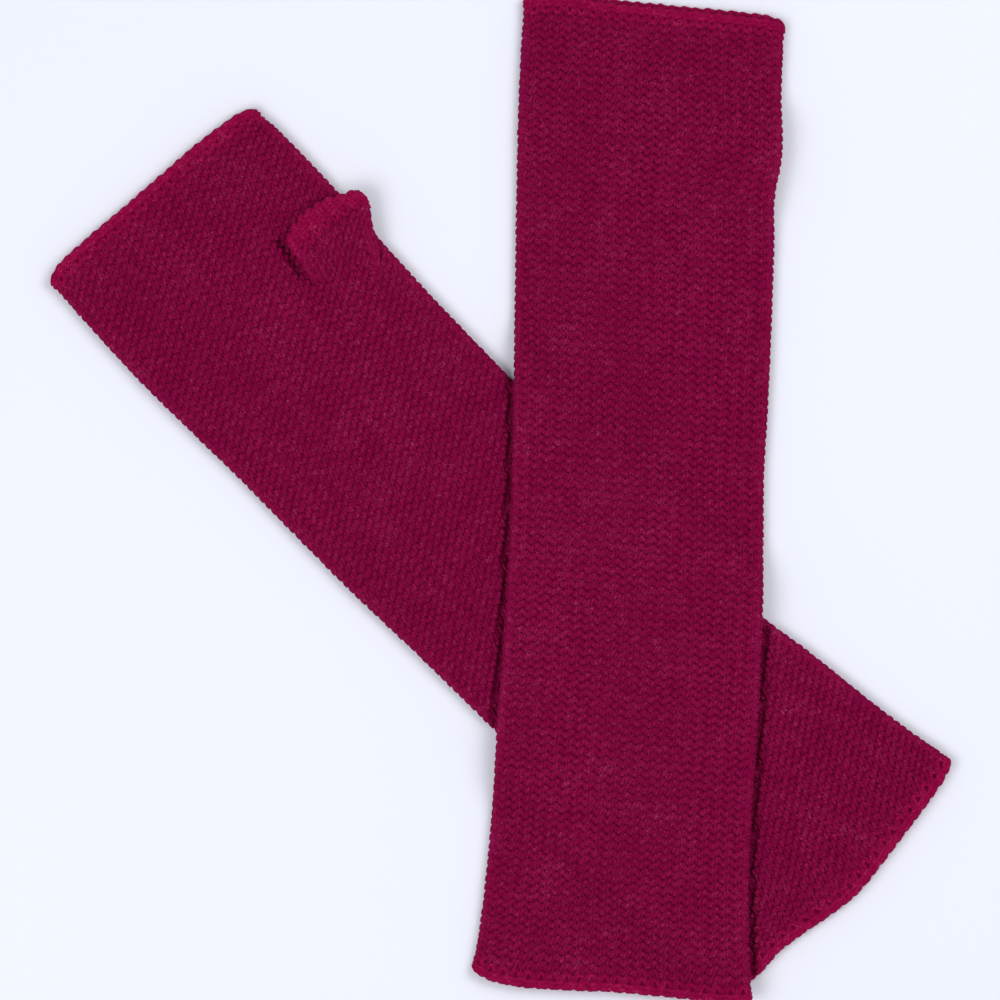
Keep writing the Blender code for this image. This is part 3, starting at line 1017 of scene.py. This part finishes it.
def thumb_pieces(warmer, courses):
    """Cloth, knitted courses and edge of a thumb."""
    side = warmer.side
    first, last = THUMB_SECTIONS[0, 0], THUMB_SECTIONS[-1, 0]
    node = [f"{side}_thumb"]

    def points_of(rows, turns, inset):
        return thumb_points(warmer, rows, turns, inset)

    surface = knitted_surface(f"{side}_thumb_surface", points_of, first, last, THUMB_STITCHES)
    common = {
        "Length": last - first,
        "Stitches round": float(THUMB_STITCHES),
        "Course height": THUMB_COURSE_HEIGHT,
    }
    values = {
        **common,
        **PLAIN_STITCH,
        "Stitches": THUMB_TOP_STITCHES,
        "Courses": courses,
        "Seed": 6,
        "First stitch": (THUMB_STITCHES - THUMB_TOP_STITCHES) / 2 + FOLD_SHIFT,
        "First row": THUMB_FIRST_ROW,
    }
    yarn = [knit(f"{side}_thumb_courses", surface, values, yarn_wool, node)]
    edges = finish_edge(
        f"{side}_thumb_edge",
        surface,
        common,
        THUMB_STITCHES,
        KNOTTED_CHAIN_STITCH,
        THUMB_CHAIN_STRANDS,
    )
    points = THUMB_CLOTH_POINTS * THUMB_STITCHES
    turns = np.arange(points) / points
    rows = np.linspace(first + CLOTH_START, THUMB_CLOTH_END, THUMB_CLOTH_ROWS)
    cloth = cloth_piece(
        f"{side}_thumb_cloth",
        points_of,
        rows,
        turns,
        THUMB_STITCHES,
        THUMB_COURSE_HEIGHT,
        node,
    )
    bpy.data.objects.remove(surface)
    return cloth, yarn, edges


# Courses of each, down to where the next one would lie below the palm or below the table
right_thumb_cloth, right_thumb_yarn, right_thumb_edges = thumb_pieces(RIGHT, 9)
left_thumb_cloth, left_thumb_yarn, left_thumb_edges = thumb_pieces(LEFT, 8)

# Table. A plain painted top, pale and without shine, as the backdrop of a shop's picture. It goes
# on far past the frame of the picture on every side.
FLOOR_COLOUR = "#f0f3fd"
FLOOR_REACH = 3.0  # metres from the middle
floor_mesh = bpy.data.meshes.new("table_top")
floor_mesh.from_pydata(
    [(x * FLOOR_REACH, y * FLOOR_REACH, 0) for x, y in ((-1, -1), (1, -1), (1, 1), (-1, 1))],
    [],
    [(0, 1, 2, 3)],
)
floor = bpy.data.objects.new("table_top", floor_mesh)
bpy.context.scene.collection.objects.link(floor)
paint = bpy.data.materials.new("pale_table_paint")
paint.use_nodes = True
coat = paint.node_tree.nodes["Principled BSDF"]
coat.inputs["Base Color"].default_value = linear(FLOOR_COLOUR)
coat.inputs["Roughness"].default_value = 0.8
floor_mesh.materials.append(paint)

# Light. Two softboxes face each other from about 50 degrees up, on a line turned a little from the
# picture's width, so that both warmers' loops get as much light and shade. Pale surroundings fill
# the shadows in.
SURROUNDINGS_COLOUR = "#f8faff"
SURROUNDINGS_STRENGTH = 0.5
SOFTBOX_ASIDE = 1.0  # metres, as are the next three
SOFTBOX_HEIGHT = 1.25
SOFTBOX_WIDTH = 0.9
SOFTBOX_LENGTH = 1.1
SOFTBOX_TURN = np.radians(30.0)
SOFTBOX_WATTS = 10.1
world = bpy.data.worlds.new("pale surroundings")
world.use_nodes = True
background = world.node_tree.nodes["Background"]
background.inputs["Color"].default_value = linear(SURROUNDINGS_COLOUR)
background.inputs["Strength"].default_value = SURROUNDINGS_STRENGTH
bpy.context.scene.world = world
for side, way in (("left", -1), ("right", 1)):
    lamp = bpy.data.lights.new(f"{side}_softbox", "AREA")
    lamp.shape = "RECTANGLE"
    lamp.size = SOFTBOX_WIDTH
    lamp.size_y = SOFTBOX_LENGTH
    lamp.energy = SOFTBOX_WATTS
    softbox = bpy.data.objects.new(f"{side}_softbox", lamp)
    aside = way * SOFTBOX_ASIDE
    softbox.location = (
        aside * np.cos(SOFTBOX_TURN),
        aside * np.sin(SOFTBOX_TURN),
        SOFTBOX_HEIGHT,
    )
    softbox.rotation_euler = (0.0, np.arctan2(aside, SOFTBOX_HEIGHT), SOFTBOX_TURN)
    bpy.context.scene.collection.objects.link(softbox)

# Camera. A long lens straight above the middle of the picture, which shows 360 mm of the table.
CAMERA_HEIGHT = 4.0  # metres, as is the next one
VIEW_WIDTH = 0.36
VIEW_MIDDLE = (-0.1, -0.8)
lens = bpy.data.cameras.new("camera")
lens.sensor_width = 36.0
lens.lens = lens.sensor_width * CAMERA_HEIGHT / VIEW_WIDTH
lens.clip_end = 20.0
camera = bpy.data.objects.new("camera", lens)
camera.location = (VIEW_MIDDLE[0] * MM, VIEW_MIDDLE[1] * MM, CAMERA_HEIGHT)
bpy.context.scene.collection.objects.link(camera)
bpy.context.scene.camera = camera
bpy.context.scene.view_settings.view_transform = "Standard"
